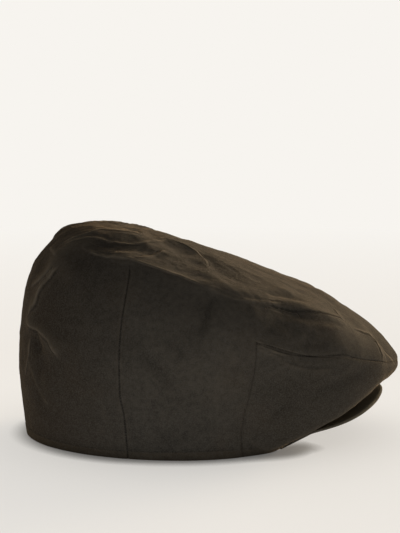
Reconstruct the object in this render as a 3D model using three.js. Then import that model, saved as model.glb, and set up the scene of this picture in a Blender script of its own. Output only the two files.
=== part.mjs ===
// A flat cap in dark waxed cotton: a one-piece crown with a dart in each side, two side-front panels
// that fold under at their lower edge, and a short stiff peak beneath them.
import * as THREE from "three";

// Driving sizes in millimetres. +X is the front of the cap, +Z is up, and the rim rests on Z = 0.
const OPENING = { middle: 12, back: 110, front: 88, halfWidth: 84 };
const FRONT_LIFT = 30;
const LIFT_ANGLE = 44;
const LIFT_FADE = 20;
const AXIS_X = -20;
const APEX_HEIGHT = 142.3;
const CLOTH = 1.8;
const HEM_THICKNESS = 3;
const HEM_STATION = 0.5;
const SEAM_GAP = 0.3;
const SEAM_ANGLE = 50.5;
const DART = { angle: 94.5, halfAngle: 1.5, depth: 1, top: 3.06 };
const PEAK = { angle: 35, thickness: 3.6, endThickness: 1.8, edgeThickness: 1.6, tuck: 3, gap: 0.9 };

// The cloth's profile runs from the rim through five stations to the apex. A station value says how
// far along it a point lies: 0 rim, 1 lip, 2 seam or widest line, 3 shoulder, 4 crest, 5 apex.
const SEAM_STATION = 2;
const APEX_STATION = 5;
const ROWS_PER_STATION = [4, 6, 7, 6, 4];
const COLUMN_STEP = 5;

// One row for each section round the vertical axis through the apex. Angles are in degrees from the
// front. "out" is the distance from the axis and "up" the height. "rimAngle" is where the section
// meets the rim, and "lean" is how far it turns above the seam line.
const SECTION_COLUMNS = [
  "angle", "rimAngle", "lean", "lipOut", "lipUp", "seamOut", "seamUp",
  "shoulderOut", "shoulderUp", "crestOut", "crestUp",
];
const SECTIONS = [
  [0, 0, 0, 178.3, 42.5, 181, 50.5, 163, 74.6, 98, 110],
  [12, 12, 0, 168.5, 40, 172.5, 55, 155.5, 77, 94, 111],
  [25, 24.5, 0, 147.5, 23, 157, 64, 140, 89, 84, 115.5],
  [38, 36.5, 0, 121.5, 10, 139.5, 70, 119.5, 97.5, 74, 119],
  [50.5, 46.8, 0, 111, 22, 123.5, 80, 104, 107, 64, 123.5],
  [70, 69, -2, 98, 24, 108, 80, 88.5, 113, 53, 130.5],
  [94, 92.8, -4, 90.5, 24, 98, 78, 80, 121, 46, 136.5],
  [125, 125, -2, 85, 24, 90.5, 73, 76, 122, 46, 141.5],
  [150, 150, 0, 82, 24, 84.5, 66, 74.5, 119.5, 48, 142.8],
  [180, 180, 0, 80.6, 24, 82.2, 62, 70.5, 120.5, 48, 142.6],
].map(asRecord(SECTION_COLUMNS));

// One row for each soft fold or dent of the stuffed cloth, from one point on the surface to another,
// each given by angle and station. A negative angle is the wearer's right. "rise" is above the plain
// form, or below it when negative, and it fades over "width".
const FOLD_COLUMNS = ["fromAngle", "fromStation", "toAngle", "toStation", "rise", "width"];
const FOLDS = [
  [-132, 3.55, -99, 3.38, 1.6, 7],
  [-99, 3.38, -61, 3.1, 1.4, 7],
  [-61, 3.1, -28, 3.2, 1.2, 7],
  [-99, 3.4, -63, 4.26, 1.2, 7],
  [-142, 3.65, -127, 4, 1.4, 7],
  [-127, 4, -73, 4.4, 1.2, 7],
  [-112, 3.7, -80, 3.8, -2, 9],
  [-136, 3.1, -146, 2.34, 2.2, 8],
  [-145, 3.4, -123, 2.9, 1.5, 7],
  [-146, 2.28, -123, 1.95, 1.8, 7],
  [-141, 2.15, -133, 1.85, -3, 9],
  [-62, 2.8, -70, 2, -1.6, 9],
  [-89, 2.05, -73, 1.45, -1.4, 9],
  [-10, 3.1, -14, 2.05, 1.5, 7],
  [128, 3.5, 92, 3.35, 1.6, 7],
  [92, 3.35, 40, 3.1, 1.4, 8],
  [138, 3.7, 84, 4.3, 1.3, 8],
  [150, 3.2, 138, 2.3, 2, 8],
  [140, 2.2, 128, 1.8, -2.6, 9],
  [66, 2.7, 74, 1.9, -1.6, 9],
  [168, 2.9, 176, 2.2, -2, 9],
  [9, 3.1, 13, 2.1, 1.3, 7],
].map(asRecord(FOLD_COLUMNS));

// One row for each point of the peak's outer edge.
const PEAK_EDGE_COLUMNS = ["angle", "out", "up"];
const PEAK_EDGE = [
  [0, 171, 32],
  [10, 165, 27.2],
  [17, 154.5, 22.3],
  [24, 141.5, 18.3],
  [30, 128.5, 14.1],
  [35, 113, 4.9],
].map(asRecord(PEAK_EDGE_COLUMNS));
const PEAK_COLUMNS = 20;
const PEAK_ROWS = [0, 0.2, 0.4, 0.6, 0.8, 0.96, 1];

const WAXED_COTTON = { color: 0x2e2b26, roughness: 0.62, metalness: 0 };
const PEAK_COTTON = { color: 0x28241e, roughness: 0.62, metalness: 0 };

function asRecord(names) {
  return (row) => Object.fromEntries(names.map((name, index) => [name, row[index]]));
}

// A value from a table of records, smoothly interpolated over the angle. The table is mirrored past
// both of its ends, so that the form is smooth across the centre line.
function interpolate(table, name, angle) {
  const last = table.length - 1;
  const node = (k) => {
    if (k < 0) return { x: -table[1].angle, y: table[1][name] };
    if (k > last) return { x: 2 * table[last].angle - table[last - 1].angle, y: table[last - 1][name] };
    return { x: table[k].angle, y: table[k][name] };
  };
  const slope = (k) => {
    const [before, here, after] = [node(k - 1), node(k), node(k + 1)];
    const stepIn = here.x - before.x;
    const stepOut = after.x - here.x;
    const rateIn = (here.y - before.y) / stepIn;
    const rateOut = (after.y - here.y) / stepOut;
    return (rateIn * stepOut + rateOut * stepIn) / (stepIn + stepOut);
  };
  let k = 0;
  while (k < last - 1 && angle >= table[k + 1].angle) k += 1;
  const [low, high] = [node(k), node(k + 1)];
  const span = high.x - low.x;
  const t = (angle - low.x) / span;
  const t2 = t * t;
  const t3 = t2 * t;
  return (
    (2 * t3 - 3 * t2 + 1) * low.y +
    (t3 - 2 * t2 + t) * span * slope(k) +
    (3 * t2 - 2 * t3) * high.y +
    (t3 - t2) * span * slope(k + 1)
  );
}

function around(angle, out, up) {
  const turn = THREE.MathUtils.degToRad(angle);
  return new THREE.Vector3(AXIS_X + out * Math.cos(turn), out * Math.sin(turn), up);
}

// Distance from the axis to the egg-shaped rim, found by halving.
function rimOut(angle) {
  let near = 0;
  let far = 2 * OPENING.back;
  for (let step = 0; step < 40; step += 1) {
    const middle = (near + far) / 2;
    const point = around(angle, middle, 0);
    const half = point.x < OPENING.middle ? OPENING.back : OPENING.front;
    const inside = ((point.x - OPENING.middle) / half) ** 2 + (point.y / OPENING.halfWidth) ** 2 < 1;
    if (inside) near = middle;
    else far = middle;
  }
  return near;
}

function rimUp(angle) {
  const turn = Math.min(Math.abs(angle) / LIFT_ANGLE, 1);
  return FRONT_LIFT * (0.5 + 0.5 * Math.cos(Math.PI * turn));
}

// The cloth's profile at one angle, carried a little past the apex so that opposite sides join smoothly.
const profiles = new Map();
function profile(angle) {
  if (profiles.has(angle)) return profiles.get(angle);
  const size = Math.abs(angle);
  const side = Math.sign(angle) || 1;
  const value = (name, at = size) => interpolate(SECTIONS, name, at);
  const rimAngle = value("rimAngle");
  const upper = size + value("lean");
  const points = [
    around(side * rimAngle, rimOut(rimAngle), rimUp(rimAngle)),
    around(side * size, value("lipOut"), value("lipUp")),
    around(side * size, value("seamOut"), value("seamUp")),
    around(side * upper, value("shoulderOut"), value("shoulderUp")),
    around(side * upper, value("crestOut"), value("crestUp")),
    new THREE.Vector3(AXIS_X, 0, APEX_HEIGHT),
    around(angle + 180, value("crestOut", 180 - size), value("crestUp", 180 - size)),
  ];
  const curve = new THREE.CatmullRomCurve3(points, false, "centripetal");
  profiles.set(angle, curve);
  return curve;
}

// A point of the form without folds. Under the front the cloth is stretched straight from rim to lip.
function plainPoint(angle, station) {
  const turned = angle > 180 ? angle - 360 : angle < -180 ? angle + 360 : angle;
  const curve = profile(turned);
  const point = curve.getPoint(station / (curve.points.length - 1));
  if (station >= 1) return point;
  const [rim, lip] = curve.points;
  const stretched = 1 - THREE.MathUtils.smoothstep(Math.abs(turned), LIFT_ANGLE, LIFT_ANGLE + LIFT_FADE);
  return point.lerp(rim.clone().lerp(lip, station), stretched);
}

const ANGLE_NUDGE = 0.5;
const STATION_NUDGE = 0.02;

// Unit directions on the plain form: along the columns, up the rows and out of the cloth.
function directions(angle, station) {
  const low = Math.max(station - STATION_NUDGE, 0);
  const high = Math.min(station + STATION_NUDGE, APEX_STATION);
  const along = plainPoint(angle + ANGLE_NUDGE, station).sub(plainPoint(angle - ANGLE_NUDGE, station));
  const up = plainPoint(angle, high).sub(plainPoint(angle, low));
  if (station === APEX_STATION) {
    along.subVectors(plainPoint(90, low), plainPoint(-90, low));
    up.subVectors(plainPoint(180, low), plainPoint(0, low));
  }
  const outward = along.clone().cross(up).normalize();
  return { along: along.normalize(), up: up.normalize(), outward };
}

const foldLines = FOLDS.map((fold) => ({
  ...fold,
  line: new THREE.Line3(
    plainPoint(fold.fromAngle, fold.fromStation),
    plainPoint(fold.toAngle, fold.toStation),
  ),
}));

function relief(point, angle, station) {
  const nearest = new THREE.Vector3();
  let height = 0;
  for (const fold of foldLines) {
    fold.line.closestPointToPoint(point, true, nearest);
    height += fold.rise * Math.exp(-((nearest.distanceTo(point) / fold.width) ** 2));
  }
  const across = 1 - Math.abs(Math.abs(angle) - DART.angle) / DART.halfAngle;
  if (across > 0 && station < DART.top) height -= DART.depth * across;
  return height;
}

function clothThickness(station) {
  return HEM_THICKNESS + (CLOTH - HEM_THICKNESS) * THREE.MathUtils.smoothstep(station, 0, HEM_STATION);
}

// The outer and inner point of the cloth, drawn back from a seam by half its gap. "pull" holds -1, 0
// or 1 along the columns and up the rows. The rim is cut level where it rests.
function clothPoints(angle, station, pull) {
  const { along, up, outward } = directions(angle, station);
  const outer = plainPoint(angle, station);
  outer.addScaledVector(outward, relief(outer, angle, station));
  outer.addScaledVector(along, (pull.along * SEAM_GAP) / 2);
  outer.addScaledVector(up, (pull.up * SEAM_GAP) / 2);
  if (station === 0) {
    outer.z = rimUp(interpolate(SECTIONS, "rimAngle", Math.abs(angle)));
    outward.z *= 1 - THREE.MathUtils.smoothstep(Math.abs(angle), 30, LIFT_ANGLE);
    outward.normalize();
  }
  const inner = outer.clone().addScaledVector(outward, -clothThickness(station));
  return { outer, inner };
}

// A closed wall over a grid of cells. "has" says which cells are there, "points" gives the outer and
// inner point of a grid corner, and every edge with a cell on one side only is closed across the wall.
function wall({ columns, rows, wrap = false, apex = false, has, points }) {
  const columnCount = columns.length;
  const cellColumns = wrap ? columnCount : columnCount - 1;
  const cellRows = rows.length - 1;
  const at = (i) => (wrap ? (i + columnCount) % columnCount : i);
  const cell = (i, j) => {
    if (j < 0 || j >= cellRows) return false;
    if (!wrap && (i < 0 || i >= cellColumns)) return false;
    return has(at(i), j);
  };
  const positions = [];
  const known = new Map();
  const corner = (i, j) => {
    const column = apex && j === cellRows ? 0 : at(i);
    const key = column * rows.length + j;
    if (!known.has(key)) {
      const below = Math.max(j - 1, 0);
      const above = apex ? Math.min(j, cellRows - 1) : j;
      const right = cell(column, above) + cell(column, below);
      const left = cell(column - 1, above) + cell(column - 1, below);
      const over = cell(column, above) + cell(column - 1, above);
      const under = cell(column, below) + cell(column - 1, below);
      const pull = { along: Math.sign(right - left), up: Math.sign(over - under) };
      const { outer, inner } = points(columns[column], rows[j], pull);
      known.set(key, known.size * 2);
      positions.push(...outer.toArray(), ...inner.toArray());
    }
    return known.get(key);
  };
  const faces = [];
  const quad = (a, b, c, d) => {
    if (a !== b && b !== c) faces.push(a, b, c);
    if (a !== d && c !== d) faces.push(a, c, d);
  };
  const side = (a, b) => quad(a, a + 1, b + 1, b);
  for (let i = 0; i < cellColumns; i += 1) {
    for (let j = 0; j < cellRows; j += 1) {
      if (!cell(i, j)) continue;
      const [a, b, c, d] = [corner(i, j), corner(i + 1, j), corner(i + 1, j + 1), corner(i, j + 1)];
      quad(a, b, c, d);
      quad(a + 1, d + 1, c + 1, b + 1);
      if (!cell(i, j - 1)) side(a, b);
      if (!cell(i + 1, j)) side(b, c);
      if (!cell(i, j + 1) && c !== d) side(c, d);
      if (!cell(i - 1, j)) side(d, a);
    }
  }
  const geometry = new THREE.BufferGeometry();
  geometry.setAttribute("position", new THREE.Float32BufferAttribute(positions, 3));
  geometry.setIndex(faces);
  geometry.computeVertexNormals();
  return geometry;
}

// Columns every few degrees, with one on each front seam and three across each dart.
function clothColumns() {
  const angles = [];
  for (let angle = -180; angle < 180; angle += COLUMN_STEP) {
    const size = Math.abs(angle);
    const side = Math.sign(angle);
    if (Math.abs(size - DART.angle) < DART.halfAngle) {
      const offsets = [-side * DART.halfAngle, 0, side * DART.halfAngle].sort((a, b) => side * (a - b));
      for (const offset of offsets) angles.push(side * DART.angle + side * offset);
    } else if (Math.abs(size - SEAM_ANGLE) < COLUMN_STEP / 2) {
      angles.push(side * SEAM_ANGLE);
    } else {
      angles.push(angle);
    }
  }
  return angles.sort((a, b) => a - b);
}

function clothRows() {
  const rows = [0];
  ROWS_PER_STATION.forEach((count, station) => {
    for (let k = 1; k <= count; k += 1) rows.push(station + k / count);
  });
  return rows;
}

const columns = clothColumns();
const rows = clothRows();
const panelRows = rows.filter((station) => station <= SEAM_STATION);

function crownGeometry() {
  const inPanel = (i, j) => {
    const middle = (columns[i] + (columns[i + 1] ?? 180)) / 2;
    return Math.abs(middle) < SEAM_ANGLE && rows[j] < SEAM_STATION;
  };
  return wall({
    columns,
    rows,
    wrap: true,
    apex: true,
    has: (i, j) => !inPanel(i, j),
    points: clothPoints,
  });
}

function frontPanelGeometry(side) {
  const inside = (angle) => side * angle >= 0 && side * angle <= SEAM_ANGLE;
  return wall({
    columns: columns.filter(inside),
    rows: panelRows,
    has: () => true,
    points: clothPoints,
  });
}

// Height of the folded front's underside at a distance from the axis.
function undersideUp(angle, out) {
  const rim = rimOut(angle);
  const share = Math.max((out - rim) / (interpolate(SECTIONS, "lipOut", angle) - rim), 0);
  return THREE.MathUtils.lerp(rimUp(angle), interpolate(SECTIONS, "lipUp", angle), share);
}

// The peak runs from just under the front of the rim to its own rounded edge, and it thins at its ends.
function peakGeometry() {
  const halfColumns = PEAK_COLUMNS / 2;
  const angles = Array.from({ length: PEAK_COLUMNS + 1 }, (_, k) => (k / halfColumns - 1) * PEAK.angle);
  const points = (angle, across) => {
    const size = Math.abs(angle);
    const edgeOut = interpolate(PEAK_EDGE, "out", size);
    const edgeUp = interpolate(PEAK_EDGE, "up", size);
    const out = THREE.MathUtils.lerp(rimOut(angle) - PEAK.tuck, edgeOut, across);
    const sloped = THREE.MathUtils.lerp(rimUp(angle) - PEAK.gap, edgeUp, across);
    const up = Math.min(sloped, undersideUp(size, out) - PEAK.gap);
    const ends = (size / PEAK.angle) ** 2;
    const full = THREE.MathUtils.lerp(PEAK.thickness, PEAK.endThickness, ends);
    const thickness = across === 1 ? PEAK.edgeThickness : full;
    const dip = across === 1 ? (full - thickness) / 2 : 0;
    const top = around(angle, out, up - dip);
    const bottom = around(angle, out, up - dip - thickness);
    return { outer: bottom, inner: top };
  };
  return wall({ columns: angles, rows: PEAK_ROWS, has: () => true, points });
}

function piece(name, geometry, finish) {
  const mesh = new THREE.Mesh(geometry, new THREE.MeshStandardMaterial(finish));
  mesh.name = name;
  return mesh;
}

const cap = new THREE.Group();
cap.add(piece("crown", crownGeometry(), WAXED_COTTON));
cap.add(piece("front_panel_right", frontPanelGeometry(-1), WAXED_COTTON));
cap.add(piece("front_panel_left", frontPanelGeometry(1), WAXED_COTTON));
cap.add(piece("peak", peakGeometry(), PEAK_COTTON));

// The origin is under the middle of the cap, on the surface that it rests on.
const middle = new THREE.Box3().setFromObject(cap).getCenter(new THREE.Vector3());
cap.position.set(-middle.x, -middle.y, 0);

export default cap;
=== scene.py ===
import math

import bmesh
import bpy
import numpy as np
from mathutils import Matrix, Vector, noise


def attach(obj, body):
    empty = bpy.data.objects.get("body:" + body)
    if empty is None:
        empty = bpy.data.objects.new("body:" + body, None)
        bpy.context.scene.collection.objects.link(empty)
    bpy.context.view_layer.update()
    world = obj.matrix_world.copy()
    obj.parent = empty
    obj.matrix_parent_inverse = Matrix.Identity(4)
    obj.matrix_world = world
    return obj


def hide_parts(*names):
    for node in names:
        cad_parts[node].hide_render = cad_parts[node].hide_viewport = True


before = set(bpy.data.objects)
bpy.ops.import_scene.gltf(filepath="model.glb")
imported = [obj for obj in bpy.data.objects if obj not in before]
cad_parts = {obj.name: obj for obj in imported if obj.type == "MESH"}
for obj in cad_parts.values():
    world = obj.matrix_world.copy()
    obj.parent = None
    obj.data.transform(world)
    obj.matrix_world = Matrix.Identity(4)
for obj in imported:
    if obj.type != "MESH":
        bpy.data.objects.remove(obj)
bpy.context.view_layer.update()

# Driving sizes in millimetres. Meshes are made in millimetres and brought to metres at the end.
MM = 0.001
AXIS = np.array([-49.33, 0.08])
OPENING = {"middle": 12.0, "back": 110.0, "front": 88.0, "half_width": 84.0}
OPENING_FROM_AXIS = -20.0
FRONT_LIFT = 30.0
LIFT_ANGLE = 36.0
LIFT_FADE = 20.0
APEX_HEIGHT = 142.3
CLOTH = 1.8
HEM_THICKNESS = 2.8
HEM_HEIGHT = 8.0
HEM_FADE = 1.5
HEM_STEP = 1.2
HEM_SWELL = 0.35
HEM_ROUND = 1.1
WEAVE_RADIUS = 95.0
PEAK = {
    "angle": 30.0,
    "thickness": 3.6,
    "end_thickness": 1.1,
    "tuck": 3.0,
    "gap": 0.5,
}

# Stations count up the cloth: 0 at the rim, 1 at the lip, 2 at the seam, 3 at the shoulder, 4 at the
# crest of the top and 5 at its apex.
SEAM_ANGLE = 50.5
SEAM_STATION = 2
APEX_STATION = 5

# The lip sags and draws in near the side seam. "angle" is where it does so most, "spread" and
# "stations" are how far that reaches round and up the cloth, and the rest is in millimetres.
LIP_END = {"angle": 43.0, "spread": 6.5, "stations": 0.45, "hang": 7.0, "pull": 4.0}

# One row for each section round the upright axis through the apex. Angles are in degrees from the
# front, negative on the wearer's right. "out" is the distance from the axis and "up" the height.
SECTION_COLUMNS = [
    "angle", "rim_angle", "lean", "lip_out", "lip_up", "seam_out", "seam_up",
    "shoulder_out", "shoulder_up", "crest_out", "crest_up",
]
SECTIONS = [
    [0, 0, 0, 178.3, 42.5, 181, 50.5, 163, 74.6, 98, 110],
    [12, 12, 0, 168.5, 40, 172.5, 55, 155.5, 77, 94, 111],
    [25, 24.5, 0, 147.5, 23, 157, 64, 140, 89, 84, 115.5],
    [38, 36.5, 0, 121.5, 10, 139.5, 70, 119.5, 97.5, 74, 119],
    [50.5, 46.8, 0, 111, 22, 123.5, 80, 104, 107, 64, 123.5],
    [70, 69, -2, 98, 24, 108, 80, 88.5, 113, 53, 130.5],
    [94, 92.8, -4, 90.5, 24, 98, 78, 80, 121, 46, 136.5],
    [125, 125, -2, 85, 24, 90.5, 73, 76, 122, 46, 141.5],
    [150, 150, 0, 82, 24, 84.5, 66, 74.5, 119.5, 48, 142.8],
    [180, 180, 0, 80.6, 24, 82.2, 62, 70.5, 120.5, 48, 142.6],
]
SECTION_TABLE = np.array(SECTIONS, float)
SECTION_ANGLES = SECTION_TABLE[:, 0]

# Soft folds and dents of the stuffed cloth, as in the solid model: from one point on the surface to
# another by angle and station, with the rise above the plain form and the width that it fades over.
FOLD_COLUMNS = ["from_angle", "from_station", "to_angle", "to_station", "rise", "width"]
FOLDS = [
    [-132, 3.55, -99, 3.38, 1.6, 7],
    [-99, 3.38, -61, 3.1, 1.4, 7],
    [-61, 3.1, -28, 3.2, 1.2, 7],
    [-99, 3.4, -63, 4.26, 1.2, 7],
    [-142, 3.65, -127, 4, 1.4, 7],
    [-127, 4, -73, 4.4, 1.2, 7],
    [-112, 3.7, -80, 3.8, -2, 9],
    [-136, 3.1, -146, 2.34, 2.2, 8],
    [-145, 3.4, -123, 2.9, 1.5, 7],
    [-146, 2.28, -123, 1.95, 1.8, 7],
    [-141, 2.15, -133, 1.85, -3, 9],
    [-62, 2.8, -70, 2, -1.6, 9],
    [-89, 2.05, -73, 1.45, -1.4, 9],
    [-10, 3.1, -14, 2.05, 1.5, 7],
    [128, 3.5, 92, 3.35, 1.6, 7],
    [92, 3.35, 40, 3.1, 1.4, 8],
    [138, 3.7, 84, 4.3, 1.3, 8],
    [150, 3.2, 138, 2.3, 2, 8],
    [140, 2.2, 128, 1.8, -2.6, 9],
    [66, 2.7, 74, 1.9, -1.6, 9],
    [168, 2.9, 176, 2.2, -2, 9],
    [9, 3.1, 13, 2.1, 1.3, 7],
]

# The share of each fold's rise that is kept, since the creases below add their own
FOLD_SHARE = 0.6

# Sharp creases where the wax has cracked pale. "points" are pairs of angle and station, "rise" is the
# ridge's height, "width" that of its flanks, "pale" how pale its line is, and "groove" how dark the
# painted shade in the hollow is on the left of the line's run, or on the right where the number
# is negative.
CREASE_COLUMNS = ["points", "rise", "width", "pale", "groove"]
CREASES = [
    ([(-124, 3.50), (-114, 3.39), (-107, 3.34), (-101, 3.32), (-95, 3.33), (-85, 3.30), (-77, 3.26),
      (-69, 3.23), (-60, 3.06)], 0.9, 3.5, 1.0, -0.4),
    ([(-61, 3.12), (-58, 3.04), (-54, 2.96), (-50, 2.92), (-44, 3.00), (-36, 3.14)], 0.6, 3.0, 0.7, 0.9),
    ([(-60, 3.12), (-54, 3.06), (-50, 2.99), (-46, 2.99), (-40, 3.12)], 0.4, 2.0, 0.4, 0.0),
    ([(-94, 3.40), (-90, 3.48), (-85, 3.62), (-76, 3.90), (-67, 4.12)], 0.7, 4.0, 0.6, 0.5),
    ([(-139, 3.52), (-133, 3.64), (-128, 3.78), (-122, 3.84), (-110, 3.88), (-99, 3.96), (-89, 4.08),
      (-68, 4.40), (-41, 4.60)], 0.9, 4.0, 0.75, -0.4),
    ([(-65, 4.56), (-40, 4.64), (-31, 4.56), (-33, 4.44), (-35, 4.34), (-39, 4.20), (-44, 4.04)],
     1.4, 6.5, 0.6, 0.7),
    ([(-141, 3.58), (-137, 3.74), (-133, 3.86), (-131, 4.04), (-129, 4.20), (-119, 4.32), (-106, 4.42),
      (-90, 4.50), (-66, 4.60)], 1.0, 3.5, 0.85, 0.4),
    ([(-42, 3.06), (-36, 3.08), (-31, 3.12), (-25, 3.14), (-15, 3.20)], 0.6, 4.5, 0.15, -0.8),
    ([(-38, 3.30), (-32, 3.38), (-28, 3.34)], 0.3, 2.5, 0.5, 0.0),
    ([(-41, 2.90), (-38, 2.92), (-35, 2.92)], 0.3, 2.5, 0.5, 0.0),
    ([(-11, 3.38), (-15, 3.24), (-17, 3.12)], 0.4, 3.0, 0.4, -0.4),
    ([(-152, 3.46), (-144, 3.38), (-137, 3.26)], 0.7, 4.0, 0.5, -0.3),
    ([(-134, 3.12), (-137, 2.94), (-142, 2.82), (-151, 2.74)], 1.0, 5.0, 0.5, 0.5),
    ([(-131, 3.04), (-135, 2.84), (-139, 2.70), (-141, 2.54), (-147, 2.42)], 1.2, 4.5, 0.75, 0.9),
    ([(-147, 2.30), (-136, 2.22), (-128, 2.12), (-124, 2.00), (-121, 1.88)], 1.4, 5.5, 0.6, -0.7),
    ([(-145, 2.14), (-145, 1.98), (-146, 1.82), (-152, 1.60)], 0.6, 3.5, 0.6, 0.5),
    ([(-146, 1.9), (-138, 1.45), (-130, 1.2)], 0.5, 4.0, 0.25, 0.0),
    ([(-50, 2.03), (-48, 1.97), (-46, 1.95), (-42, 1.94)], 0.35, 2.0, 0.6, 0.5),
    ([(-50, 1.94), (-47, 1.90), (-43, 1.89)], 0.3, 2.0, 0.45, 0.3),
    ([(-47, 1.91), (-44, 1.86), (-41, 1.84), (-38, 1.83), (-31, 1.83)], 0.25, 3.0, 0.15, 0.3),
    ([(-16, 2.96), (-13, 2.88), (-11, 2.80), (-12, 2.64), (-12, 2.50), (-13, 2.32), (-14, 2.06)],
     0.8, 3.0, 0.6, -0.6),
    ([(-12, 2.70), (-11, 2.48), (-11, 2.28), (-9, 2.12), (-7, 1.92)], 0.6, 2.5, 0.6, 0.6),
    ([(-46, 1.0), (-38, 1.0), (-30, 1.0), (-20, 1.0), (-10, 1.0), (10, 1.0), (20, 1.0), (30, 1.0),
      (38, 1.0), (46, 1.0)], 0.0, 3.0, 0.5, 0.0),
    ([(132, 3.55), (112, 3.36), (92, 3.38), (70, 3.30), (52, 3.0), (38, 3.05)], 1.0, 4.5, 0.8, 0.5),
    ([(92, 3.38), (78, 3.8), (60, 4.2)], 0.7, 4.5, 0.5, 0.3),
    ([(140, 3.7), (122, 4.05), (90, 4.3), (60, 4.5)], 0.8, 4.0, 0.6, -0.7),
    ([(132, 3.3), (138, 3.08), (146, 2.95), (156, 2.84), (168, 2.80)], 0.8, 4.0, 0.45, -0.5),
    ([(143, 2.98), (146, 2.74), (153, 2.52), (157, 2.24)], 0.5, 3.5, 0.35, 0.4),
    ([(9, 3.1), (12, 2.7), (14, 2.2)], 0.7, 3.5, 0.5, 0.6),
]

# Soft dents and swells that the eye reads as shading, with points as above. A dent's rise is negative.
DENT_COLUMNS = ["points", "rise", "width"]
DENTS = [
    ([(-60, 3.02), (-60, 2.84), (-62, 2.66), (-64, 2.42), (-66, 2.22), (-68, 2.10)], -1.5, 3.2),
    ([(-38, 1.56), (-32, 1.62), (-26, 1.68), (-19, 1.82)], -1.3, 4.0),
    ([(-44, 1.32), (-40, 1.48), (-35, 1.50)], -1.2, 4.0),
    ([(-48, 2.42), (-42, 2.50), (-36, 2.58)], -1.0, 4.5),
    ([(-40, 2.16), (-34, 2.26), (-29, 2.26)], -0.8, 3.0),
    ([(-38, 3.36), (-28, 3.44), (-18, 3.50)], -2.0, 6.0),
    ([(-40, 2.78), (-30, 2.72), (-20, 2.74)], 0.6, 5.0),
    ([(-42, 2.94), (-36, 2.93), (-31, 2.92), (-26, 2.92), (-20, 2.92)], -1.7, 5.0),
    ([(-142, 3.30), (-138, 3.38), (-131, 3.54), (-124, 3.70), (-112, 3.76)], 1.2, 5.0),
    ([(-74, 3.55), (-64, 3.5), (-52, 3.3)], -0.9, 6.0),
    ([(-120, 4.08), (-104, 4.20), (-88, 4.32)], -0.5, 4.0),
    ([(-137, 4.30), (-124, 4.62), (-95, 4.78), (-60, 4.80)], -0.8, 5.0),
    ([(-31, 4.40), (-38, 4.14), (-44, 3.92)], -1.2, 4.5),
    ([(-83, 1.06), (-77, 0.78), (-74, 0.50)], -1.2, 4.5),
    ([(192, 3.35), (175, 3.35), (158, 3.4)], -2.0, 8.0),
    ([(-89, 2.08), (-80, 1.72), (-73, 1.42)], -1.2, 4.0),
    ([(-58, 1.72), (-55, 1.64)], -1.2, 3.5),
    ([(-57, 3.06), (-49, 2.88)], -0.8, 3.5),
    ([(-91, 1.04), (-83, 0.36)], -1.0, 6.0),
    ([(-80, 2.4), (-74, 1.9), (-66, 1.3)], -0.6, 5.0),
    ([(-104, 3.1), (-98, 2.6)], -0.5, 5.0),
    ([(-142, 2.2), (-138, 2.12), (-136, 2.04), (-134, 1.9)], -2.0, 6.0),
    ([(-138, 1.9), (-136, 1.5), (-138, 1.1)], -1.0, 7.0),
    ([(140, 4.6), (123, 4.7), (91, 4.56), (75, 4.5)], -1.5, 9.0),
    ([(60, 4.6), (22, 4.76), (0, 4.7)], 1.2, 7.0),
    ([(192, 3.8), (175, 3.8), (158, 3.85)], 1.5, 9.0),
    ([(192, 2.9), (175, 2.9), (158, 2.95)], -2.0, 11.0),
    ([(30, 3.3), (12, 3.5), (0, 3.6), (-8, 3.6)], 2.2, 11.0),
    ([(8, 2.2), (0, 2.12), (-6, 2.2)], 0.8, 6.0),
    ([(64, 2.6), (72, 2.0), (70, 1.5)], -0.9, 4.5),
    ([(104, 1.9), (88, 1.4)], -0.7, 5.0),
]

# How the creases' ends, flanks and lines fade: shares of the run, of the width, and millimetres
CREASE_FADE = {"end": 0.12, "groove_side": 0.35, "plain_side": 0.65, "reach": 3}
CREASE_SEEN = {"at_end": 0.25, "within": 9, "over": 4}
DENT_END = 0.3

# Small waves and crumple of the cloth: rise and size of a cell in millimetres, and seed
WAVES = [(0.5, 38.0, 1), (0.22, 17.0, 2)]
CRUMPLES = [(0.42, 26.0, 5), (0.16, 11.0, 6)]
WAVE_SHIFT = (17.3, 5.7, 9.1)
CRUMPLE_SHIFT = (11.9, 3.3, 7.7)

# The waves are calm at the rim and full from a station on. The crumple comes in patches, and covers
# the whole top.
CALM = {"at_rim": 0.3, "until": 0.6}
RUMPLED = {"least": 0.25, "size": 55.0, "seed": 4, "shift": 0.35, "over": 0.6}
RUMPLED_TOP = {"from": 2.9, "over": 0.6}

# Sewn lines: depth and half width of the groove, and how clear the line is
SEAMS = {
    "side": {"depth": 0.12, "width": 1.4, "clear": 0.16},
    "dart": {"depth": 0.5, "width": 1.4, "clear": 0.9},
    "top": {"depth": 0.35, "width": 1.5, "clear": 0.6},
    "front": {"depth": 0.4, "width": 1.4, "clear": 0.7},
}
SEAM_POINTS = 9
SEAM_SEEN = {"within": 8, "over": 3}

# Runs of the sewn lines on one side, as pairs of angle and station. They waver a little.
DART_RUN = [
    (95.2, 3.06), (95.0, 2.74), (94.8, 2.44), (94.4, 2.08), (94.2, 1.72), (94.3, 1.46), (94.0, 1.36),
    (93.0, 1.20), (92.8, 0.94), (93.0, 0.5), (93.6, 0.0),
]
TOP_SEAM_RUN = [
    (50.5, 2.0), (48, 1.97), (44, 1.96), (39, 1.98), (34, 2.01), (30, 2.04), (27, 2.07), (25.5, 2.03),
    (24, 2.0), (20, 2.0), (15, 2.01), (12, 1.97), (10, 1.99), (7, 2.02), (0, 2.0),
]

PEAK_EDGE_COLUMNS = ["angle", "out", "up"]
PEAK_EDGE = [
    [0, 171, 32],
    [10, 164.5, 26.6],
    [17, 154.5, 21],
    [24, 141.5, 16.6],
    [28, 130, 13.2],
    [30, 120, 9.5],
]

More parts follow.
